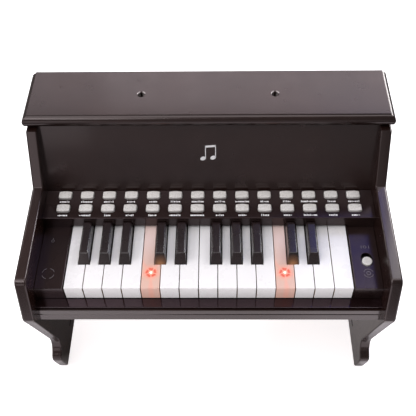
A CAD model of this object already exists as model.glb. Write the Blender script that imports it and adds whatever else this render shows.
import math
import random

import bmesh
import bpy
from mathutils import Matrix, Vector


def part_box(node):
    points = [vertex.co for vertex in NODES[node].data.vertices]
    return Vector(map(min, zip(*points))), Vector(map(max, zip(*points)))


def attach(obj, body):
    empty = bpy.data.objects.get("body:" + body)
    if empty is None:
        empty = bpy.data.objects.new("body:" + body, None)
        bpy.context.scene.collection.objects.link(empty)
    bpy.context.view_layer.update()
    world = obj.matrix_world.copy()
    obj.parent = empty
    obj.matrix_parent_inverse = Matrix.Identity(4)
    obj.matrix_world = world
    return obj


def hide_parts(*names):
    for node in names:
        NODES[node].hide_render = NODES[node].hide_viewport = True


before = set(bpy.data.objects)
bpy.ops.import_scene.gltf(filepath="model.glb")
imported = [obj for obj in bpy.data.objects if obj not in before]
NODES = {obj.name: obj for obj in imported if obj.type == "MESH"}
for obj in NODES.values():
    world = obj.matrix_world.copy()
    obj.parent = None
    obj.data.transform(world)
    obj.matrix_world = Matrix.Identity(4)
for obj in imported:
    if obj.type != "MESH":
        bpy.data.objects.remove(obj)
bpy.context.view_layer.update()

MM = 0.001
COL = bpy.context.scene.collection

# ------------------------------------------------------------------ numbers
# the same levels and depths as the CAD source, in millimetres
OUT_X, SIDE_T = 226.0, 14.0
IN_X = OUT_X - SIDE_T
BOARD_Z, BOARD_TOP, BOARD_Y0, BOARD_Y1 = 339.5, 357.0, 55.4, 141.0
BOARD_HW = OUT_X + 4.0
BOARD_R = 8.0
KEY_TOP, KEY_BOT, KEY_Y0 = 233.4, 211.4, -110.0
PITCH, N_WHITE = 23.5, 15
X_LEFT = -N_WHITE * PITCH / 2
BLACK_AT = [1, 2, 3, 5, 6, 8, 9, 10, 12, 13]
BLACK_OFF = [-2, 0, 2, -1, 1, -2, 0, 2, -1, 1]
PAN_Z, LIP_Y = 252.6, -18.1
ROW_Y = [19.2, -2.3]
COLS, COL_PITCH = 14, 28.75
CAP_W, CAP_D, CAP_UP = 16.8, 11.6, 3.0
SW_X, SW_Y = 196.5, -71.5
LIT = (5, 12)
LED_Y = -87.3


def edge_x(k):
    return X_LEFT + k * PITCH


def col_x(i):
    return (i - (COLS - 1) / 2) * COL_PITCH


def lean_y(z):
    return 26.1 + (z - 246.0) * 0.3745


def lin(r, g, b):
    def f(c):
        c /= 255.0
        return c / 12.92 if c <= 0.04045 else ((c + 0.055) / 1.055) ** 2.4
    return (f(r), f(g), f(b), 1.0)


# ---------------------------------------------------------------- materials
class Mat:
    """A procedural material: a Principled shader whose colour, roughness and bump come from noise in the object's own coordinates."""

    def __init__(self, name, rough=0.4, spec=0.5, coat=0.0, coat_rough=0.1, ior=1.5, metallic=0.0, sss=0.0):
        self.m = bpy.data.materials.new(name)
        self.m.use_nodes = True
        self.t = self.m.node_tree
        self.t.nodes.clear()
        self.out = self.t.nodes.new("ShaderNodeOutputMaterial")
        self.b = self.t.nodes.new("ShaderNodeBsdfPrincipled")
        self.t.links.new(self.b.outputs[0], self.out.inputs[0])
        self.set("Roughness", rough)
        self.set("Specular IOR Level", spec)
        self.set("Coat Weight", coat)
        self.set("Coat Roughness", coat_rough)
        self.set("IOR", ior)
        self.set("Metallic", metallic)
        if sss:
            self.set("Subsurface Weight", sss)
            self.set("Subsurface Scale", 0.002)
        self.coord = self.t.nodes.new("ShaderNodeTexCoord").outputs["Object"]

    def set(self, name, v):
        self.b.inputs[name].default_value = v

    def link(self, out, name):
        self.t.links.new(out, self.b.inputs[name])

    def mapped(self, scale=(1, 1, 1), loc=(0, 0, 0), rot=(0, 0, 0)):
        n = self.t.nodes.new("ShaderNodeMapping")
        n.inputs["Scale"].default_value = scale
        n.inputs["Location"].default_value = loc
        n.inputs["Rotation"].default_value = rot
        self.t.links.new(self.coord, n.inputs["Vector"])
        return n.outputs[0]

    def noise(self, scale, detail=3, rough=0.5, stretch=None, distort=0.0):
        n = self.t.nodes.new("ShaderNodeTexNoise")
        n.inputs["Scale"].default_value = scale
        n.inputs["Detail"].default_value = detail
        n.inputs["Roughness"].default_value = rough
        n.inputs["Distortion"].default_value = distort
        self.t.links.new(self.mapped(stretch) if stretch else self.coord, n.inputs["Vector"])
        return n.outputs["Fac"]

    def voronoi(self, scale, feature="F1"):
        n = self.t.nodes.new("ShaderNodeTexVoronoi")
        n.feature = feature
        n.inputs["Scale"].default_value = scale
        self.t.links.new(self.coord, n.inputs["Vector"])
        return n.outputs["Distance"]

    def ramp(self, fac, stops, interp="LINEAR"):
        n = self.t.nodes.new("ShaderNodeValToRGB")
        n.color_ramp.interpolation = interp
        els = n.color_ramp.elements
        while len(els) > 1:
            els.remove(els[-1])
        els[0].position, els[0].color = stops[0]
        for p, c in stops[1:]:
            e = els.new(p)
            e.color = c
        self.t.links.new(fac, n.inputs["Fac"])
        return n.outputs["Color"]

    def range(self, fac, a, b, lo=0.3, hi=0.7):
        n = self.t.nodes.new("ShaderNodeMapRange")
        n.inputs["From Min"].default_value = lo
        n.inputs["From Max"].default_value = hi
        n.inputs["To Min"].default_value = a
        n.inputs["To Max"].default_value = b
        self.t.links.new(fac, n.inputs["Value"])
        return n.outputs["Result"]

    def math(self, op, a, b=None, clamp=False):
        n = self.t.nodes.new("ShaderNodeMath")
        n.operation = op
        n.use_clamp = clamp
        for i, v in enumerate((a, b)):
            if v is None:
                continue
            if isinstance(v, (int, float)):
                n.inputs[i].default_value = v
            else:
                self.t.links.new(v, n.inputs[i])
        return n.outputs[0]

    def mix(self, fac, a, b, blend="MIX"):
        n = self.t.nodes.new("ShaderNodeMix")
        n.data_type = "RGBA"
        n.blend_type = blend
        for i, v in ((0, fac), (6, a), (7, b)):
            if isinstance(v, (int, float, tuple, list)):
                n.inputs[i].default_value = v
            else:
                self.t.links.new(v, n.inputs[i])
        return n.outputs[2]

    def bump(self, parts):
        """parts: (height output, distance in metres) from coarse to fine, chained."""
        prev = None
        for height, dist in parts:
            n = self.t.nodes.new("ShaderNodeBump")
            n.inputs["Strength"].default_value = 1.0
            n.inputs["Distance"].default_value = dist
            self.t.links.new(height, n.inputs["Height"])
            if prev is not None:
                self.t.links.new(prev, n.inputs["Normal"])
            prev = n.outputs["Normal"]
        self.link(prev, "Normal")
        return prev

    def xyz(self):
        n = self.t.nodes.new("ShaderNodeSeparateXYZ")
        self.t.links.new(self.coord, n.inputs[0])
        return n.outputs

    def dist(self, p, scale=(1, 1, 1)):
        """Distance from point p (metres), each axis weighted by scale."""
        s = self.t.nodes.new("ShaderNodeVectorMath")
        s.operation = "SUBTRACT"
        self.t.links.new(self.coord, s.inputs[0])
        s.inputs[1].default_value = p
        k = self.t.nodes.new("ShaderNodeVectorMath")
        k.operation = "MULTIPLY"
        self.t.links.new(s.outputs[0], k.inputs[0])
        k.inputs[1].default_value = scale
        d = self.t.nodes.new("ShaderNodeVectorMath")
        d.operation = "LENGTH"
        self.t.links.new(k.outputs[0], d.inputs[0])
        return d.outputs["Value"], k.outputs[0]


def lacquer(name, grain, dark, light, rims=False):
    """Espresso lacquer on wood. grain: stretch of the noise, small along the fibres."""
    m = Mat(name, rough=0.25, spec=0.5, coat=0.35, coat_rough=0.10)
    m.set("Specular Tint", (1.0, 0.84, 0.85, 1))
    cloud = m.noise(9, 4, 0.55)
    fibre = m.noise(160, 5, 0.6, stretch=grain, distort=0.4)
    base = m.ramp(cloud, [(0.30, dark), (0.72, light)])
    base = m.mix(m.range(fibre, 0.0, 0.35), base, dark)
    if rims:
        # the lacquer is polished pale on the far rim of each peg hole
        px, y, pz = m.xyz()
        for x in (-0.084, 0.084):
            d, _ = m.dist((x, 0.098, 0.3568), (1, 1, 0.4))
            ring_in = m.range(d, 0.0, 1.0, 0.0038, 0.0044)
            ring_out = m.range(d, 1.0, 0.0, 0.0052, 0.0060)
            far_side = m.range(y, 0.0, 1.0, 0.0985, 0.1000)
            lobes = m.range(m.math("ABSOLUTE", m.math("SUBTRACT", px, x)), 0.0, 1.0, 0.0006, 0.0024)
            worn = m.math("MULTIPLY", m.math("MULTIPLY", ring_in, ring_out), m.math("MULTIPLY", m.math("MULTIPLY", far_side, lobes), 0.85))
            base = m.mix(worn, base, lin(172, 165, 164))
    m.link(base, "Base Color")
    m.link(m.range(m.noise(38, 5, 0.6), 0.22, 0.28), "Roughness")
    m.bump([(m.noise(14, 2, 0.5), 0.00030), (fibre, 0.000030), (m.noise(330, 2, 0.5), 0.000040)])
    return m.m


def plastic(name, dark, light, rough, spread=0.05, grain=900, depth=0.00003, coat=0.0, coat_rough=0.1, speck=None, sss=0.0, spec=0.5, tint=None):
    m = Mat(name, rough=rough, coat=coat, coat_rough=coat_rough, sss=sss, spec=spec)
    if tint:
        m.set("Specular Tint", tint)
    base = m.ramp(m.noise(24, 3), [(0.3, dark), (0.7, light)])
    if speck:
        base = m.mix(m.range(m.noise(speck[0], 2, 0.6), 0.0, speck[1], 0.5, 0.62), base, speck[2])
    m.link(base, "Base Color")
    m.link(m.range(m.noise(46, 4, 0.6), rough - spread, rough + spread), "Roughness")
    m.bump([(m.noise(grain, 2, 0.5), depth)])
    return m.m


ESP_D, ESP_L = lin(25, 13, 10), lin(38, 22, 18)
M = {}
M["wood_x"] = lacquer("lacquer_grain_x", (0.06, 1, 1), ESP_D, ESP_L)
M["wood_top"] = lacquer("lacquer_top_board", (0.06, 1, 1), ESP_D, ESP_L, rims=True)
M["wood_z"] = lacquer("lacquer_grain_z", (1, 1, 0.06), ESP_D, ESP_L)
M["shell"] = plastic("gloss_black", lin(32, 22, 21), lin(40, 29, 27), 0.20, 0.04, 1100, 0.000010, spec=0.44, tint=(1.0, 0.80, 0.86, 1))
M["slip"] = plastic("slip_black", lin(22, 12, 12), lin(30, 17, 17), 0.10, 0.03, 500, 0.000008, coat=0.04, coat_rough=0.03, spec=0.58, tint=(1.0, 0.76, 0.88, 1))
M["chassis"] = plastic("matte_black", lin(26, 24, 24), lin(36, 33, 33), 0.55, 0.08, 1500, 0.00005)
M["black_key"] = plastic("black_key", lin(28, 18, 19), lin(38, 26, 27), 0.27, 0.05, 900, 0.000014, coat=0.25, coat_rough=0.12)
M["cap"] = plastic("cap_grey", lin(217, 214, 211), lin(232, 229, 226), 0.46, 0.06, 1900, 0.00006, speck=(1000, 0.5, lin(158, 153, 150)))
M["knob"] = plastic("knob_grey", lin(214, 212, 208), lin(228, 226, 222), 0.42, 0.06, 1700, 0.00004, speck=(1500, 0.22, lin(182, 178, 172)))
M["print"] = plastic("print_white", lin(232, 232, 234), lin(244, 244, 246), 0.55, 0.05, 2200, 0.00001)
M["print_dim"] = plastic("print_dim", lin(96, 90, 94), lin(118, 112, 116), 0.5, 0.05, 2200, 0.00001)
M["silicone"] = plastic("silicone", lin(120, 120, 118), lin(142, 142, 138), 0.6, 0.06, 700, 0.00004)
M["zinc"] = plastic("zinc", lin(150, 150, 152), lin(176, 176, 178), 0.32, 0.08, 1500, 0.00003)
M["zinc"].node_tree.nodes["Principled BSDF"].inputs["Metallic"].default_value = 1.0


def steel_material():
    m = Mat("steel", rough=0.24, metallic=1.0)
    m.link(m.ramp(m.noise(60, 4, 0.6), [(0.3, lin(150, 150, 152)), (0.7, lin(182, 182, 184))]), "Base Color")
    lines = m.noise(900, 3, 0.6, stretch=(0.02, 1, 1))
    m.link(m.range(lines, 0.18, 0.34), "Roughness")
    m.bump([(lines, 0.00001)])
    return m.m


def board_material(name, level):
    m = Mat(name, rough=0.4, coat=0.3)
    mask = m.noise(34, 2, 0.4)
    tracks = m.voronoi(240, "DISTANCE_TO_EDGE")
    green = m.ramp(mask, [(0.3, lin(18, 62, 34)), (0.7, lin(26, 84, 46))])
    face = m.mix(m.range(tracks, 0.5, 0.0, 0.02, 0.10), green, lin(46, 110, 60))
    # parts that stand on the laminate are black housings
    parts = m.math("GREATER_THAN", m.xyz()[2], level * MM)
    m.link(m.mix(parts, face, lin(24, 24, 25)), "Base Color")
    m.link(m.range(m.noise(60, 3), 0.34, 0.48), "Roughness")
    m.bump([(tracks, 0.00004)])
    return m.m


def plywood_material():
    """Birch plywood: flame figure on the faces, thin dark and light plies on the edges."""
    m = Mat("birch_ply", rough=0.62, spec=0.35)
    figure = m.noise(26, 6, 0.62, stretch=(0.12, 1, 1), distort=1.2)
    face = m.ramp(figure, [(0.25, lin(176, 138, 96)), (0.5, lin(205, 172, 128)), (0.75, lin(222, 194, 152))])
    pores = m.noise(620, 3, 0.6, stretch=(0.05, 1, 1))
    face = m.mix(m.range(pores, 0.35, 0.0, 0.30, 0.46), face, lin(132, 96, 62))
    z = m.xyz()[2]
    ply = m.math("FRACT", m.math("MULTIPLY", z, 1000.0 / 3.0))
    layers = m.ramp(ply, [(0.0, lin(120, 86, 54)), (0.08, lin(120, 86, 54)), (0.12, lin(204, 170, 124)), (0.55, lin(190, 154, 108)), (0.6, lin(150, 112, 74)), (1.0, lin(164, 126, 86))])
    geo = m.t.nodes.new("ShaderNodeNewGeometry")
    nz = m.t.nodes.new("ShaderNodeSeparateXYZ")
    m.t.links.new(geo.outputs["Normal"], nz.inputs[0])
    flat = m.math("GREATER_THAN", m.math("ABSOLUTE", nz.outputs[2]), 0.7)
    m.link(m.mix(flat, layers, face), "Base Color")
    m.link(m.range(figure, 0.55, 0.7), "Roughness")
    m.bump([(figure, 0.00012), (pores, 0.00008)])
    return m.m


def speaker_material():
    m = Mat("speaker_black", rough=0.6)
    m.link(m.ramp(m.noise(90, 4, 0.6), [(0.3, lin(34, 34, 35)), (0.7, lin(52, 52, 54))]), "Base Color")
    m.link(m.range(m.noise(300, 4, 0.6), 0.45, 0.8), "Roughness")
    m.bump([(m.noise(1400, 4, 0.7), 0.00008)])
    return m.m


def battery_material():
    """Plain printed cell jackets: copper-coloured at one end, dark along the rest."""
    m = Mat("battery_jacket", rough=0.32, coat=0.3, metallic=0.2)
    y = m.xyz()[1]
    band = m.ramp(m.range(y, 0.0, 1.0, 0.063, 0.1115), [(0.0, lin(52, 52, 56)), (0.68, lin(44, 44, 48)), (0.70, lin(190, 128, 60)), (0.97, lin(206, 142, 72)), (0.98, lin(170, 170, 172))], "LINEAR")
    m.link(m.mix(m.range(m.noise(80, 3), 0.0, 0.12), band, lin(20, 20, 20)), "Base Color")
    m.link(m.range(m.noise(50, 4), 0.26, 0.40), "Roughness")
    m.bump([(m.noise(700, 3), 0.00002)])
    return m.m


def back_material():
    """Painted hardboard of the back panel: same espresso, flatter, with a fine roller texture."""
    m = Mat("painted_back", rough=0.6, spec=0.4)
    m.link(m.ramp(m.noise(12, 4), [(0.3, lin(34, 23, 21)), (0.7, lin(46, 33, 31))]), "Base Color")
    m.link(m.range(m.noise(60, 4, 0.6), 0.5, 0.68), "Roughness")
    m.bump([(m.noise(330, 4, 0.6), 0.00016)])
    return m.m


def white_key_material():
    m = Mat("white_key", rough=0.28, coat=0.25, coat_rough=0.1, sss=0.0)
    base = m.ramp(m.noise(18, 3), [(0.3, lin(237, 235, 236)), (0.7, lin(242, 240, 241))])
    # the flanks go warm and darker towards the foot of the key
    z = m.xyz()[2]
    deep = m.range(z, 1.0, 0.0, 0.2280, 0.2331)
    geo = m.t.nodes.new("ShaderNodeNewGeometry")
    n = m.t.nodes.new("ShaderNodeSeparateXYZ")
    m.t.links.new(geo.outputs["Normal"], n.inputs[0])
    side = m.math("GREATER_THAN", m.math("ABSOLUTE", n.outputs[0]), 0.6)
    m.link(m.mix(m.math("MULTIPLY", deep, side), base, lin(150, 118, 76)), "Base Color")
    m.set("Emission Color", (1.0, 0.985, 0.985, 1))
    m.link(m.math("MULTIPLY", m.math("LESS_THAN", n.outputs[1], -0.7), 0.19), "Emission Strength")
    m.link(m.range(m.noise(40, 4, 0.6), 0.24, 0.34), "Roughness")
    m.bump([(m.noise(900, 2), 0.00001)])
    return m.m


def lit_key_material(x):
    """A white key with its lamp on: the whole key glows salmon, with a small burst over the lamp."""
    m = Mat("lit_key_%d" % round(x * 1000), rough=0.30, coat=0.25, coat_rough=0.1)
    cloud = m.noise(30, 3)
    m.link(m.ramp(cloud, [(0.3, lin(236, 188, 178)), (0.7, lin(242, 198, 190))]), "Base Color")
    m.link(m.range(m.noise(40, 4, 0.6), 0.26, 0.36), "Roughness")
    d, v = m.dist((x, LED_Y * MM, KEY_TOP * MM), (1, 1, 0.35))
    s = m.t.nodes.new("ShaderNodeSeparateXYZ")
    m.t.links.new(v, s.inputs[0])
    ang = m.math("ARCTAN2", s.outputs[1], s.outputs[0])
    petal = m.math("SINE", m.math("ADD", m.math("MULTIPLY", ang, 5.0), 0.8))
    fine = m.math("SINE", m.math("MULTIPLY", ang, 13.0))
    r = m.math("ADD", d, m.math("ADD", m.math("MULTIPLY", petal, 0.00022), m.math("MULTIPLY", fine, 0.00016)))
    core = m.math("ADD", d, m.math("MULTIPLY", m.math("SINE", m.math("ADD", m.math("MULTIPLY", ang, 3.0), 2.2)), 0.00045))
    gap = m.range(m.math("SINE", m.math("ADD", m.math("MULTIPLY", ang, 5.0), 2.9)), 0.0, 0.75, 0.55, 1.0)
    burst = m.ramp(m.range(r, 0.0, 1.0, 0.0, 0.014), [
        (0.00, (1.0, 0.90, 0.82, 1)), (0.09, (1.0, 0.84, 0.74, 1)), (0.16, (0.90, 0.44, 0.33, 1)),
        (0.25, (0.88, 0.36, 0.26, 1)), (0.31, (0.80, 0.15, 0.08, 1)), (0.43, (0.80, 0.16, 0.09, 1)), (0.54, (0.84, 0.42, 0.33, 1)),
        (0.70, (0.84, 0.48, 0.38, 1)), (1.0, (0.80, 0.46, 0.38, 1))])
    rear = m.range(m.xyz()[1], 0.0, 1.0, -0.078, -0.040)
    m.link(m.mix(rear, m.mix(gap, burst, (0.84, 0.44, 0.35, 1)), (0.82, 0.66, 0.62, 1)), "Emission Color")
    glow = m.ramp(m.range(core, 0.0, 1.0, 0.0, 0.014), [
        (0.00, (0.95,) * 3 + (1,)), (0.09, (0.80,) * 3 + (1,)), (0.16, (0.26,) * 3 + (1,)), (0.45, (0.22,) * 3 + (1,)), (0.60, (0.11,) * 3 + (1,)), (1.0, (0.07,) * 3 + (1,))])
    nose = m.t.nodes.new("ShaderNodeSeparateXYZ")
    m.t.links.new(m.t.nodes.new("ShaderNodeNewGeometry").outputs["Normal"], nose.inputs[0])
    m.link(m.math("ADD", glow, m.math("MULTIPLY", m.math("LESS_THAN", nose.outputs[1], -0.7), 0.23)), "Emission Strength")
    # the lamp's own colour also tints the plastic around it
    tint = m.ramp(m.range(r, 0.0, 1.0, 0.0, 0.014), [
        (0.00, lin(255, 240, 230)), (0.09, lin(252, 214, 196)), (0.16, lin(232, 150, 128)), (0.25, lin(226, 128, 104)),
        (0.31, lin(208, 78, 54)), (0.42, lin(210, 84, 60)), (0.54, lin(226, 156, 136)), (0.75, lin(216, 172, 156)), (1.0, lin(212, 177, 163))])
    tint = m.mix(gap, tint, lin(228, 166, 148))
    back = m.range(m.xyz()[1], 0.0, 1.0, -0.078, -0.040)
    tint = m.mix(back, tint, lin(233, 207, 201))
    m.link(m.mix(m.range(cloud, 0.0, 0.1), tint, lin(228, 180, 168)), "Base Color")
    m.bump([(m.noise(900, 2), 0.00001)])
    return m.m


def glow_key_material(x):
    """A black key beside a lit key: its foot catches the orange light."""
    m = Mat("black_key_glow_%d" % round(x * 1000), rough=0.30, coat=0.25, coat_rough=0.12)
    m.link(m.ramp(m.noise(24, 3), [(0.3, lin(28, 18, 19)), (0.7, lin(38, 26, 27))]), "Base Color")
    m.link(m.range(m.noise(46, 4, 0.6), 0.22, 0.32), "Roughness")
    d, _ = m.dist((x, -0.0755, 0.2335), (1.0, 0.9, 1.0))
    m.set("Emission Color", (1.0, 0.42, 0.16, 1))
    m.link(m.ramp(m.range(d, 0.0, 1.0, 0.002, 0.013), [(0.0, (0.24,) * 3 + (1,)), (0.4, (0.09,) * 3 + (1,)), (1.0, (0, 0, 0, 1))]), "Emission Strength")
    m.bump([(m.noise(900, 2), 0.000014)])
    return m.m


M["steel"] = steel_material()
M["key_pcb"] = board_material("circuit_board_keys", 201.7)
M["button_pcb"] = board_material("circuit_board_buttons", 237.7)
M["ply"] = plywood_material()
M["speaker"] = speaker_material()
M["battery"] = battery_material()
M["back"] = back_material()
M["white_key"] = white_key_material()


# ----------------------------------------------------------------- geometry
def paint(o, material):
    o.data.materials.clear()
    o.data.materials.append(material)
    return o


def place(name, bm, material, body, replaces=(), sharp=35.0, weighted=True):
    bmesh.ops.recalc_face_normals(bm, faces=bm.faces)
    me = bpy.data.meshes.new(name)
    bm.to_mesh(me)
    bm.free()
    me.polygons.foreach_set("use_smooth", [True] * len(me.polygons))
    me.set_sharp_from_angle(angle=math.radians(sharp))
    o = bpy.data.objects.new(name, me)
    COL.objects.link(o)
    paint(o, material)
    if weighted:
        w = o.modifiers.new("weighted", "WEIGHTED_NORMAL")
        w.keep_sharp = True
        w.weight = 80
    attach(o, body)
    if replaces:
        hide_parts(*replaces)
    return o


def soften(node, rules, dissolve=0.4):
    """A copy of a CAD node's mesh with its flat faces merged and its edges rounded.
    rules: (test(midpoint in mm, edge) or None, radius in mm, segments)."""
    bm = bmesh.new()
    bm.from_mesh(NODES[node].data)
    bmesh.ops.remove_doubles(bm, verts=bm.verts, dist=2e-6)
    bmesh.ops.dissolve_limit(bm, angle_limit=math.radians(dissolve), verts=bm.verts, edges=bm.edges, use_dissolve_boundaries=False)
    for test, radius, segs in rules:
        edges = []
        for e in bm.edges:
            if len(e.link_faces) != 2 or e.calc_face_angle(0) < math.radians(40):
                continue
            mid = (e.verts[0].co + e.verts[1].co) * 500.0
            if test is None or test(mid, e):
                edges.append(e)
        if edges:
            bmesh.ops.bevel(bm, geom=edges, offset=radius * MM, offset_type="OFFSET", segments=segs, profile=0.5, affect="EDGES", clamp_overlap=False)
    return bm


def fillet(points, seg=6):
    """points: (a, b, radius). Rounds each corner of a closed polygon with an arc."""
    out = []
    n = len(points)
    for i in range(n):
        a, b, r = points[i]
        p = Vector((a, b))
        q0, q1 = Vector(points[i - 1][:2]), Vector(points[(i + 1) % n][:2])
        if r <= 0:
            out.append((a, b))
            continue
        u, v = (q0 - p), (q1 - p)
        lu, lv = u.length, v.length
        u, v = u / lu, v / lv
        ang = math.acos(max(-1, min(1, u.dot(v))))
        if abs(math.pi - ang) < 1e-4:
            out.append((a, b))
            continue
        d = min(r / math.tan(ang / 2), 0.49 * lu, 0.49 * lv)
        rr = d * math.tan(ang / 2)
        c = p + (u + v).normalized() * (rr / math.sin(ang / 2))
        s, e = p + u * d, p + v * d
        a0 = math.atan2(s.y - c.y, s.x - c.x)
        a1 = math.atan2(e.y - c.y, e.x - c.x)
        da = (a1 - a0 + math.pi) % (2 * math.pi) - math.pi
        k = max(2, int(math.ceil(abs(da) / (math.pi / 2) * seg)))
        for j in range(k + 1):
            t = a0 + da * j / k
            out.append((c.x + rr * math.cos(t), c.y + rr * math.sin(t)))
    return out


def area(poly):
    return 0.5 * sum(poly[i - 1][0] * poly[i][1] - poly[i][0] * poly[i - 1][1] for i in range(len(poly)))


def inset(poly, d):
    """Moves a closed polygon inwards by d, corner by corner."""
    if d == 0:
        return list(poly)
    s = 1.0 if area(poly) > 0 else -1.0
    out = []
    n = len(poly)
    for i in range(n):
        p0, p, p1 = Vector(poly[i - 1]), Vector(poly[i]), Vector(poly[(i + 1) % n])
        e0, e1 = (p - p0).normalized(), (p1 - p).normalized()
        n0, n1 = Vector((-e0.y, e0.x)) * s, Vector((-e1.y, e1.x)) * s
        m = n0 + n1
        if m.length < 1e-6:
            m = n0
        m.normalize()
        k = max(0.35, m.dot(n0))
        q = p + m * (d / k)
        out.append((q.x, q.y))
    return out


def put(plane, a, b, h):
    if plane == "xy":
        return Vector((a, b, h)) * MM
    if plane == "yz":
        return Vector((h, a, b)) * MM
    return Vector((a, h, b)) * MM


def prism(bm, poly, h0, h1, r0=0.0, r1=0.0, plane="xy", seg=4, crown=0.0):
    """Adds a solid: polygon from h0 to h1, its two rims rounded by r0 and r1."""
    levels = []
    if r0 > 0:
        for j in range(seg + 1):
            t = math.pi / 2 * j / seg
            levels.append((h0 + r0 * (1 - math.sin(t)), r0 * (1 - math.cos(t))))
        levels = levels[::-1]
        # from the rim outwards and up
        levels = [(h0 + r0 * (1 - math.cos(math.pi / 2 * j / seg)), r0 * (1 - math.sin(math.pi / 2 * j / seg))) for j in range(seg + 1)]
    else:
        levels = [(h0, 0.0)]
    if r1 > 0:
        levels += [(h1 - r1 * (1 - math.sin(math.pi / 2 * j / seg)), r1 * (1 - math.cos(math.pi / 2 * j / seg))) for j in range(seg + 1)]
    else:
        levels += [(h1, 0.0)]
    loops = []
    for h, d in levels:
        loops.append([bm.verts.new(put(plane, a, b, h)) for a, b in inset(poly, d)])
    n = len(poly)
    for lo, hi in zip(loops, loops[1:]):
        for i in range(n):
            j = (i + 1) % n
            bm.faces.new((lo[i], lo[j], hi[j], hi[i]))
    bm.faces.new(loops[0][::-1])
    if crown <= 0:
        bm.faces.new(loops[-1])
    else:
        # a crowned top: rings that shrink towards the middle
        ca = sum(p[0] for p in poly) / n
        cb = sum(p[1] for p in poly) / n
        ring = inset(poly, r1)
        prev = loops[-1]
        for f in (0.82, 0.62, 0.40, 0.18):
            z = h1 + crown * (1 - f * f) * (1.0 if h1 > h0 else -1.0)
            cur = [bm.verts.new(put(plane, ca + (a - ca) * f, cb + (b - cb) * f, z)) for a, b in ring]
            for i in range(n):
                j = (i + 1) % n
                bm.faces.new((prev[i], prev[j], cur[j], cur[i]))
            prev = cur
        bm.faces.new(prev)
    return bm


def lathe(bm, prof, centre, seg=48, axis="z"):
    """Turns a profile (r, h) about an axis through centre; r of 0 at both ends closes it."""
    rings = []
    for r, h in prof:
        if r < 1e-9:
            pts = [(0.0, 0.0)]
        else:
            pts = [(r * math.cos(2 * math.pi * k / seg), r * math.sin(2 * math.pi * k / seg)) for k in range(seg)]
        row = []
        for a, b in pts:
            if axis == "z":
                v = Vector((centre[0] + a, centre[1] + b, centre[2] + h))
            elif axis == "y":
                v = Vector((centre[0] + a, centre[1] + h, centre[2] + b))
            else:
                v = Vector((centre[0] + h, centre[1] + a, centre[2] + b))
            row.append(bm.verts.new(v * MM))
        rings.append(row)
    for p, q in zip(rings, rings[1:]):
        if len(p) == 1 and len(q) == 1:
            continue
        for k in range(seg):
            j = (k + 1) % seg
            if len(p) == 1:
                bm.faces.new((p[0], q[j], q[k]))
            elif len(q) == 1:
                bm.faces.new((p[k], p[j], q[0]))
            else:
                bm.faces.new((p[k], p[j], q[j], q[k]))
    return bm


def cut(o, cutter_bm):
    """Boolean difference, applied, so that the mesh is final."""
    bmesh.ops.recalc_face_normals(cutter_bm, faces=cutter_bm.faces)
    me = bpy.data.meshes.new("cutter")
    cutter_bm.to_mesh(me)
    cutter_bm.free()
    c = bpy.data.objects.new("cutter", me)
    COL.objects.link(c)
    b = o.modifiers.new("cut", "BOOLEAN")
    b.operation, b.solver, b.object = "DIFFERENCE", "EXACT", c
    order = [m.name for m in o.modifiers]
    if len(order) > 1:
        o.modifiers.move(len(order) - 1, 0)
    dg = bpy.context.evaluated_depsgraph_get()
    shown = [(m, m.show_viewport) for m in o.modifiers if m.name != "cut"]
    for m, _ in shown:
        m.show_viewport = False
    dg.update()
    fresh = bpy.data.meshes.new_from_object(o.evaluated_get(dg))
    o.modifiers.remove(b)
    for m, s in shown:
        m.show_viewport = s
    old = o.data
    mats = list(old.materials)
    o.data = fresh
    fresh.materials.clear()
    for x in mats:
        fresh.materials.append(x)
    fresh.polygons.foreach_set("use_smooth", [True] * len(fresh.polygons))
    fresh.set_sharp_from_angle(angle=math.radians(35))
    bpy.data.objects.remove(c)
    return o


def bez(a, b, c, n):
    out = []
    for i in range(n + 1):
        t = i / n
        out.append(tuple((1 - t) ** 2 * a[k] + 2 * t * (1 - t) * b[k] + t * t * c[k] for k in (0, 1)))
    return out


# ---- side panels
def side_outline():
    pts = [(136, 0), (-101.4, 0), (-110.8, 31)]
    pts += bez((-111.8, 36), (-114.4, 44.5), (-108.8, 48.4), 12)
    pts += bez((-107.2, 49.4), (-98.0, 54.6), (-96.9, 67), 16)
    pts += bez((-96.8, 69), (-96.6, 76), (-100, 84.5), 10)
    pts += bez((-137.6, 197.6), (-140.6, 203.5), (-140.9, 209.5), 8)
    pts += [(-126.6, 259.6)]
    pts += bez((-125.6, 262.6), (-123.6, 268.4), (-117.6, 268.6), 10)
    pts += [(16, 273), (50.28, BOARD_Z), (136, BOARD_Z)]
    radius = {(136, 0): 4.0, (-101.4, 0): 3.4, (16, 273): 1.6}
    return fillet([(p[0], p[1], radius.get((p[0], p[1]), 0)) for p in pts], 4)


SIDE = side_outline()
for s, name, node in ((-1, "side_left", "left_side_panel"), (1, "side_right", "right_side_panel")):
    bm = bmesh.new()
    if s > 0:
        prism(bm, SIDE, IN_X, OUT_X, 2.0, 2.8, "yz", 5)
    else:
        prism(bm, SIDE, -OUT_X, -IN_X, 2.8, 2.0, "yz", 5)
    o = place(name, bm, M["wood_z"], "case", (node,))
    c = bmesh.new()
    groove = fillet([(-50, 24.5, 1.2), (-4, 24.5, 1.2), (-4, 28.5, 1.2), (-50, 28.5, 1.2)], 3)
    prism(c, groove, s * IN_X - 1.5 if s > 0 else -IN_X - 2.5, IN_X + 2.5 if s > 0 else -IN_X + 1.5, 0, 0, "yz")
    cut(o, c)


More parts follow.
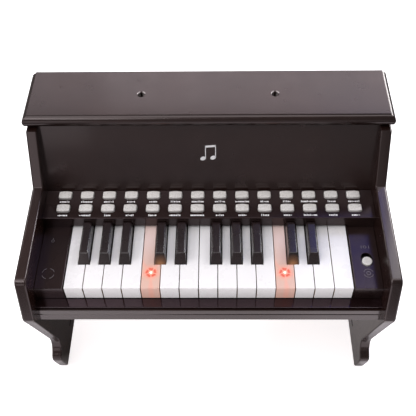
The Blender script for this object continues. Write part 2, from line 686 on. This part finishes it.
# ---- top board: bullnose round three sides with a raised field
def board_loop(u, z, rc):
    hw, y0 = BOARD_HW - u, BOARD_Y0 + u
    r = max(rc - u, 0.7)
    k = 8
    pts = [(-hw, BOARD_Y1, z)]
    for j in range(k + 1):
        t = math.pi + math.pi / 2 * j / k
        pts.append((-hw + r + r * math.cos(t), y0 + r + r * math.sin(t), z))
    for j in range(k + 1):
        t = -math.pi / 2 + math.pi / 2 * j / k
        pts.append((hw - r + r * math.cos(t), y0 + r + r * math.sin(t), z))
    pts.append((hw, BOARD_Y1, z))
    return pts


def top_board():
    r, zc = BOARD_R, BOARD_Z + BOARD_R
    prof = [(12.0, BOARD_Z)]
    for j in range(0, 33):
        t = -math.pi / 2 - math.pi * j / 32
        prof.append((r + r * math.cos(t), zc + r * math.sin(t)))
    u0 = 5.9
    prof = [p for p in prof if not (p[1] > zc and p[0] > u0 - 0.3)]
    prof += [(u0, zc + math.sqrt(r * r - (r - u0) ** 2)), (6.2, 355.42), (6.2, 356.2)]
    for j in range(1, 5):
        t = math.pi / 2 * j / 4
        prof.append((6.2 + 0.8 * (1 - math.cos(t)), 356.2 + 0.8 * math.sin(t)))
    bm = bmesh.new()
    rows = [[bm.verts.new(Vector(p) * MM) for p in board_loop(u, z, 2.6)] for u, z in prof]
    for a, b in zip(rows, rows[1:]):
        for i in range(len(a) - 1):
            bm.faces.new((a[i], a[i + 1], b[i + 1], b[i]))
    bm.faces.new(rows[0])
    bm.faces.new(rows[-1])
    bm.faces.new([a[0] for a in rows] + [a[-1] for a in rows][::-1])
    o = place("top_board_lid", bm, M["wood_top"], "case", ("top_board",))
    c = bmesh.new()
    for s in (-1, 1):
        prof = [(0, 346.0), (3.6, 346.0), (4.0, 346.5), (4.0, 355.5)]
        for j in range(1, 7):
            t = math.pi / 2 * j / 6
            prof.append((4.0 + 1.5 * (1 - math.cos(t)), 355.5 + 1.5 * math.sin(t)))
        prof += [(5.5, 360.0), (0, 360.0)]
        lathe(c, prof, (s * 84.0, 98.0, 0), 40)
    cut(o, c)
    return o


top_board()


# ---- front rail with an eased top, a thin scored line and an eased foot
def front_rail():
    pts = fillet([(-114, 184.4, 0), (-114, 206.3, 0.3), (-125.4, 206.3, 0.6), (-125.4, 197.9, 0.3), (-124.7, 197.3, 0), (-126.0, 196.6, 0.3)], 4)
    pts += [(-126.0, 185.8)]
    pts += bez((-126.0, 185.8), (-126.0, 184.4), (-124.8, 184.4), 5)[1:]
    bm = bmesh.new()
    prism(bm, pts, -IN_X, IN_X, 0, 0, "yz")
    return place("rail", bm, M["wood_x"], "case", ("front_rail",), sharp=28)


front_rail()


# ---- carried-over CAD nodes
def clean(node, material, bevel=0.0, segs=2):
    """A CAD node as it is: flat faces merged, small bevel, own material."""
    o = NODES[node]
    paint(o, material)
    w = o.modifiers.new("weld", "WELD")
    w.merge_threshold = 2e-6
    d = o.modifiers.new("flat", "DECIMATE")
    d.decimate_type, d.angle_limit = "DISSOLVE", math.radians(0.4)
    if bevel:
        b = o.modifiers.new("bevel", "BEVEL")
        b.width, b.segments, b.limit_method, b.angle_limit, b.use_clamp_overlap = bevel * MM, segs, "ANGLE", math.radians(50), False
    n = o.modifiers.new("weighted", "WEIGHTED_NORMAL")
    n.keep_sharp = True
    return o


clean("upper_front_panel", M["wood_x"])
clean("back_panel", M["back"])
clean("keybed_board", M["ply"])
for node, mat in (("key_chassis", "chassis"), ("key_pivot_rod", "steel"), ("key_contact_board", "key_pcb"), ("key_contact_strip", "silicone"),
                  ("button_board", "button_pcb"), ("button_dome_mat", "silicone"), ("speaker", "speaker"), ("battery_box", "chassis"),
                  ("battery_door", "chassis"), ("batteries", "battery"), ("screws", "zinc")):
    paint(NODES[node], M[mat])


# ---- keyboard top shell, slip plate
bm = soften("keyboard_top_shell", [(lambda m, e: m.z > 252.5 and m.y < LIP_Y + 0.1, 0.9, 4), (lambda m, e: m.z > 252.55 and m.y > LIP_Y + 2.0 and m.y < 27.2 and abs(m.x) < 211.0, 0.35, 2),
                                   (lambda m, e: m.z > 234.2 and m.z < 234.4 and m.y < -17, 0.7, 4), (lambda m, e: 233.3 < m.z < 233.5 and m.y < -20 and abs(m.x) > 179.5, 0.4, 2)])
place("keyboard_shell", bm, M["shell"], "case", ("keyboard_top_shell",), sharp=30)
bm = soften("key_slip_plate", [(None, 0.08, 2)])
place("slip_plate", bm, M["slip"], "case", ("key_slip_plate",), sharp=30)


# ---- keys
lit_mats = {i: lit_key_material((edge_x(i - 1) + PITCH / 2) * MM) for i in LIT}
for i in range(1, N_WHITE + 1):
    node = "white_key_%02d" % i
    lo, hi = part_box(node)
    x0, x1 = edge_x(i - 1) + 0.5, edge_x(i) - 0.5
    bm = soften(node, [(lambda m, e, x0=x0, x1=x1: m.z > KEY_TOP - 0.05 or (m.y < KEY_Y0 + 0.05 and (abs(m.x - x0) < 0.05 or abs(m.x - x1) < 0.05)), 0.55, 3)])
    lit = i in LIT
    place("key_white_%02d" % i, bm, lit_mats[i] if lit else M["white_key"], node, (node,), sharp=30)

glow = {}
for k, i in ((3, 5), (8, 12)):
    glow[k] = glow_key_material((edge_x(i) - 1.0) * MM)
for k in range(10):
    node = "black_key_%02d" % (k + 1)
    bm = soften(node, [(lambda m, e: m.z > 236.0 or (m.z > 233.5 and m.y < -66), 0.7, 3)])
    place("key_black_%02d" % (k + 1), bm, glow.get(k, M["black_key"]), node, (node,), sharp=24)


# ---- push buttons: barrel-shaped caps, crowned and eased
def cap_outline(w, d, bulge, r):
    pts = []
    k = 8
    for j in range(k + 1):
        x = -w / 2 + w * j / k
        pts.append((x, -d / 2 + bulge * (2 * x / w) ** 2, r if j in (0, k) else 0))
    for j in range(k + 1):
        x = w / 2 - w * j / k
        pts.append((x, d / 2 - bulge * (2 * x / w) ** 2, r if j in (0, k) else 0))
    return fillet(pts, 5)


CAP = cap_outline(CAP_W, CAP_D, 1.1, 2.4)
FLANGE = fillet([(-10.2, -7.3, 3.4), (10.2, -7.3, 3.4), (10.2, 7.3, 3.4), (-10.2, 7.3, 3.4)], 5)
for i in range(COLS):
    node = "button_pair_%02d" % (i + 1)
    bm = bmesh.new()
    for y in ROW_Y:
        cx = col_x(i)
        prism(bm, [(cx + a, y + b) for a, b in CAP], PAN_Z - 2.7, PAN_Z + CAP_UP - 0.35, 0, 1.25, "xy", 5, crown=0.34)
        prism(bm, [(cx + a, y + b) for a, b in FLANGE], PAN_Z - 4.5, PAN_Z - 2.75, 0.2, 0.2, "xy", 2)
        lathe(bm, [(0, 243.3), (2.2, 243.3), (2.5, 243.6), (2.5, 248.2), (0, 248.2)], (cx, y, 0), 24)
    place("buttons_%02d" % (i + 1), bm, M["cap"], node, (node,), sharp=30)


# ---- slide switch knob: round, crowned, with grip ridges
def switch():
    bm = bmesh.new()
    lathe(bm, [(0, 229.6), (6.1, 229.6), (6.3, 229.8), (6.3, 234.6), (6.2, 235.1), (5.85, 235.45), (5.3, 235.6), (0, 235.6)], (SW_X, SW_Y, 0), 56)
    rim = fillet([(SW_X - 4.3, SW_Y - 3.3, 2.6), (SW_X + 4.3, SW_Y - 3.3, 2.6), (SW_X + 4.3, SW_Y + 3.3, 2.6), (SW_X - 4.3, SW_Y + 3.3, 2.6)], 6)
    inner = inset(rim, 0.55)
    rows = [[bm.verts.new(Vector((q[0], q[1], z)) * MM) for q, z in ((p_in, 235.2), (p_out, 235.2), (p_out, 235.95), (p_in, 235.95))] for p_in, p_out in zip(inner, rim)]
    for k in range(len(rows)):
        a, b = rows[k], rows[(k + 1) % len(rows)]
        for j in range(4):
            bm.faces.new((a[j], b[j], b[(j + 1) % 4], a[(j + 1) % 4]))
    for k in range(-1, 2):
        y = SW_Y + k * 1.75
        ridge = fillet([(SW_X - 2.7, y - 0.42, 0.4), (SW_X + 2.7, y - 0.42, 0.4), (SW_X + 2.7, y + 0.42, 0.4), (SW_X - 2.7, y + 0.42, 0.4)], 3)
        prism(bm, ridge, 235.2, 236.0, 0, 0.3, "xy", 3)
    prism(bm, fillet([(SW_X - 2, SW_Y - 3, 0.3), (SW_X + 2, SW_Y - 3, 0.3), (SW_X + 2, SW_Y + 3, 0.3), (SW_X - 2, SW_Y + 3, 0.3)], 2), 226.2, 229.7, 0, 0, "xy")
    return place("slide_knob", bm, M["knob"], "switch", ("switch_knob",), sharp=32)


switch()


# ---- printed marks: short strokes and plain signs, no letters
def bar(bm, x, y, w, h, z, r=None, t=0.06):
    r = min(w, h) * 0.45 if r is None else r
    prism(bm, fillet([(x - w / 2, y - h / 2, r), (x + w / 2, y - h / 2, r), (x + w / 2, y + h / 2, r), (x - w / 2, y + h / 2, r)], 3), z - 0.05, z + t, 0, 0, "xy")


def ring(bm, x, y, r0, r1, z, a0=0.0, a1=360.0, t=0.06, n=40):
    full = abs(a1 - a0) >= 359.9
    angs = [math.radians(a0 + (a1 - a0) * k / n) for k in range(n if full else n + 1)]
    rows = []
    for a in angs:
        c, s = math.cos(a), math.sin(a)
        rows.append([bm.verts.new(Vector((x + rr * c, y + rr * s, zz)) * MM) for rr, zz in ((r0, z - 0.05), (r1, z - 0.05), (r1, z + t), (r0, z + t))])
    m = len(rows)
    for k in range(m if full else m - 1):
        p, q = rows[k], rows[(k + 1) % m]
        for j in range(4):
            bm.faces.new((p[j], q[j], q[(j + 1) % 4], p[(j + 1) % 4]))
    if not full:
        bm.faces.new(rows[0])
        bm.faces.new(rows[-1][::-1])


def marks():
    rnd = random.Random(7)
    bm = bmesh.new()
    words = [[6, 7, 6, 5, 5, 6, 8, 6, 9, 5, 5, 11, 5, 7], [6, 7, 4, 5, 5, 7, 9, 5, 5, 5, 5, 9, 5, 5]]
    for row, y in ((0, 8.6), (1, -13.5)):
        for i in range(COLS):
            n = words[row][i]
            step = 2.15 if n < 8 else 1.95
            x = col_x(i) - step * (n - 1) / 2
            for k in range(n):
                kind = rnd.random()
                if kind < 0.45:
                    bar(bm, x, y, 1.7, 2.4, PAN_Z)
                elif kind < 0.65:
                    bar(bm, x, y + 0.35, 1.0, 3.2, PAN_Z)
                elif kind < 0.85:
                    ring(bm, x, y, 0.30, 1.25, PAN_Z, n=14)
                else:
                    bar(bm, x, y, 1.7, 1.3, PAN_Z)
                x += step
    return place("panel_print", bm, M["print"], "case", sharp=30, weighted=False)


marks()


def switch_signs():
    bm = bmesh.new()
    z = KEY_TOP
    for dx in (-4.6, 0.0, 4.6):
        ring(bm, SW_X + dx * 0 - 0.2, -49.5, 1.5, 2.1, z) if dx == 0 else bar(bm, SW_X + dx, -49.5, 0.7, 4.4, z)
    ring(bm, SW_X - 0.3, -88.3, 2.0, 2.7, z)
    ring(bm, SW_X - 0.3, -88.3, 5.6, 6.2, z, 20, 160)
    ring(bm, SW_X - 0.3, -88.3, 5.6, 6.2, z, 200, 340)
    return place("switch_signs", bm, M["print_dim"], "case", sharp=30, weighted=False)


switch_signs()


def cheek_signs():
    bm = bmesh.new()
    z = KEY_TOP
    for a in (20, 110, 200, 290):
        ring(bm, -197.4, -88.8, 7.2, 7.8, z, a, a + 58, n=12)
    ring(bm, -198.6, -39.7, 1.5, 2.1, z, n=20)
    bar(bm, -198.6, -36.2, 0.7, 2.4, z)
    return place("cheek_signs", bm, M["print_dim"], "case", sharp=30, weighted=False)


cheek_signs()


def front_ornament():
    """A plain pair of beamed notes on the leaning front panel."""
    bm = bmesh.new()
    zc = 304.0
    grow = 1.25
    sl = math.atan(0.3745)
    up = Vector((0, math.sin(sl), math.cos(sl)))
    nrm = Vector((0, -math.cos(sl), math.sin(sl)))
    org = Vector((2.5, lean_y(zc), zc))

    def flat(poly, t=0.12):
        lo = [bm.verts.new((org + Vector((a * grow, 0, 0)) + up * b * grow - nrm * 0.05) * MM) for a, b in poly]
        hi = [bm.verts.new((org + Vector((a * grow, 0, 0)) + up * b * grow + nrm * t) * MM) for a, b in poly]
        n = len(poly)
        for i in range(n):
            j = (i + 1) % n
            bm.faces.new((lo[i], lo[j], hi[j], hi[i]))
        bm.faces.new(lo[::-1])
        bm.faces.new(hi)

    for x in (-5.2, 5.0):
        head = []
        for k in range(24):
            a = 2 * math.pi * k / 24
            u, v = 3.0 * math.cos(a), 2.1 * math.sin(a)
            c, s = math.cos(0.38), math.sin(0.38)
            head.append((x - 2.2 + u * c - v * s, -7.0 + (0.9 if x > 0 else 0.0) + u * s + v * c))
        flat(head)
        y0 = -7.0 + (0.9 if x > 0 else 0.0)
        flat([(x - 0.15, y0 + 0.4), (x + 0.65, y0 + 0.4), (x + 0.65, 7.4 + (0.9 if x > 0 else 0)), (x - 0.15, 7.4 + (0.9 if x > 0 else 0))])
    flat([(-5.35, 5.2), (5.65, 6.1), (5.65, 8.3), (-5.35, 7.4)])
    return place("front_ornament", bm, M["print"], "case", sharp=30, weighted=False)


front_ornament()


# -------------------------------------------------------- stage and lights
def floor_material():
    """Near-white paper. The camera sees it lifted to white; for the piano only the strip just in front of it is bright."""
    m = Mat("stage_floor", rough=0.7, spec=0.2)
    paper = m.ramp(m.noise(2, 2), [(0.3, (0.80, 0.80, 0.805, 1)), (0.7, (0.82, 0.82, 0.825, 1))])
    path = m.t.nodes.new("ShaderNodeLightPath").outputs["Is Camera Ray"]
    d, _ = m.dist((0.0, -0.32, 0.0), (0.35, 1.0, 1.0))
    band = m.range(d, 1.0, 0.0, 0.13, 0.24)
    e, _ = m.dist((0.17, 0.06, 0.0), (1.0, 0.5, 1.0))
    side = m.range(e, 0.66, 0.0, 0.04, 0.13)
    f, _ = m.dist((0.0, -1.4, 0.0), (2.0, 1.0, 1.0))
    far = m.range(f, 1.0, 0.0, 0.70, 0.95)
    feet = []
    for x in (-0.245, 0.245):
        g, _ = m.dist((x, -0.14, 0.0))
        feet.append(m.range(g, 0.7, 0.0, 0.03, 0.07))
    band = m.math("MAXIMUM", m.math("MAXIMUM", feet[0], feet[1]), m.math("MAXIMUM", band, m.math("MAXIMUM", side, far)))
    seen = m.ramp(band, [(0.0, (0.20, 0.19, 0.195, 1)), (1.0, (0.86, 0.80, 0.83, 1))])
    m.link(m.mix(path, seen, paper), "Base Color")
    m.set("Emission Color", (1.0, 0.97, 0.985, 1))
    rest = m.math("MULTIPLY", m.math("MULTIPLY", band, m.math("SUBTRACT", 1.0, path)), 0.37)
    m.link(m.math("ADD", m.math("MULTIPLY", path, 0.76), rest), "Emission Strength")
    return m.m


bm = bmesh.new()
n = 128
ringv = [bm.verts.new((1.35 * math.cos(2 * math.pi * k / n), 1.35 * math.sin(2 * math.pi * k / n), -0.0002)) for k in range(n)]
bm.faces.new(ringv)
me = bpy.data.meshes.new("stage_floor")
bm.to_mesh(me)
bm.free()
floor = bpy.data.objects.new("stage_floor", me)
COL.objects.link(floor)
paint(floor, floor_material())


def area_light(name, loc, target, size, level, color=(1, 1, 1)):
    """A soft box whose surface shows the given brightness; size is (width, height) in metres."""
    d = bpy.data.lights.new(name, "AREA")
    d.shape, d.size, d.size_y, d.color = "RECTANGLE", size[0], size[1], color
    d.energy = level * math.pi * size[0] * size[1]
    o = bpy.data.objects.new(name, d)
    COL.objects.link(o)
    o.location = loc
    o.rotation_mode = "QUATERNION"
    o.rotation_quaternion = (Vector(target) - Vector(loc)).to_track_quat("-Z", "Y")
    o.visible_camera = False
    return o


area_light("top_front", (-0.15, 0.02, 1.9), (-0.1, -0.10, 0), (2.0, 0.8), 1.95, (1.0, 0.975, 0.98))
area_light("top_back", (0.0, 0.50, 1.9), (0, 0.50, 0), (2.2, 0.3), 0.4, (1.0, 0.97, 0.975))
area_light("back_left", (-1.0, 1.75, 1.75), (-1.0, 0, 1.75), (1.0, 0.5), 1.9, (1.0, 0.91, 0.955))
area_light("back_right", (0.5, 1.75, 1.75), (0.5, 0, 1.75), (2.0, 0.5), 2.8, (1.0, 0.92, 0.965))
area_light("left_low", (-1.6, -0.3, 0.5), (0, -0.3, 0.5), (1.2, 0.9), 0.9)
area_light("left_high", (-1.6, -0.3, 1.4), (0, -0.1, 0.3), (1.2, 0.7), 5.1, (1.0, 0.97, 0.98))
area_light("right_high", (1.6, -0.1, 1.4), (0, -0.1, 0.3), (1.2, 0.7), 0.65)
area_light("front_high", (-0.75, -0.95, 2.0), (0, -0.1, 0.25), (1.1, 0.6), 3.9, (1.0, 0.975, 0.98))
area_light("front_left_low", (-0.9, -1.5, 0.50), (-0.7, 0, 0.40), (0.9, 0.7), 1.10, (1.0, 0.92, 0.94))
area_light("front_mid_low", (0.1, -1.7, 0.45), (0.1, 0, 0.45), (1.1, 0.7), 0.25, (1.0, 0.92, 0.93))
area_light("strip_right", (1.65, 1.5, 1.85), (0, -0.1, 0.25), (0.7, 0.7), 17.0)
area_light("strip_left", (-1.65, 1.5, 1.85), (0, -0.1, 0.25), (0.5, 0.5), 8.0)
area_light("edge_right", (1.58, 1.85, 1.22), (0.22, 0.05, 0.33), (0.6, 0.75), 14.0)
area_light("navy_card", (0.465, 0.90, 1.66), (0.14, -0.06, 0.24), (0.30, 0.46), 4.4, (0.06, 0.085, 0.42))
area_light("arm_light", (0.84, 0.88, 1.69), (0.22, -0.05, 0.26), (0.30, 0.6), 4.3, (0.93, 0.97, 1.0))

world = bpy.data.worlds.new("studio")
bpy.context.scene.world = world
world.use_nodes = True
wt = world.node_tree
bg = wt.nodes["Background"]
path = wt.nodes.new("ShaderNodeLightPath")
level = wt.nodes.new("ShaderNodeMix")
level.data_type = "RGBA"
level.inputs[6].default_value = (0.20, 0.20, 0.205, 1)
level.inputs[7].default_value = (1.0, 1.0, 1.0, 1)
wt.links.new(path.outputs["Is Camera Ray"], level.inputs[0])
wt.links.new(level.outputs[2], bg.inputs["Color"])
bg.inputs["Strength"].default_value = 1.0

# ------------------------------------------------------------------- camera
psi, e, roll = math.radians(-1.6784), math.radians(52.0), math.radians(-1.4402)
fwd = Vector((math.sin(psi) * math.cos(e), math.cos(psi) * math.cos(e), -math.sin(e)))
right = Vector((math.cos(psi), -math.sin(psi), 0))
up = right.cross(fwd)
r2 = right * math.cos(roll) + up * math.sin(roll)
u2 = -right * math.sin(roll) + up * math.cos(roll)
cam_data = bpy.data.cameras.new("camera")
cam = bpy.data.objects.new("camera", cam_data)
COL.objects.link(cam)
cam.matrix_world = Matrix(((r2.x, u2.x, -fwd.x, 0.0151), (r2.y, u2.y, -fwd.y, -0.5449), (r2.z, u2.z, -fwd.z, 0.9481), (0, 0, 0, 1)))
cam_data.sensor_width = 36.0
cam_data.lens = 687.804 * 36.0 / 416.0
cam_data.clip_start, cam_data.clip_end = 0.01, 50.0
bpy.context.scene.camera = cam
bpy.context.scene.view_settings.view_transform = "Standard"
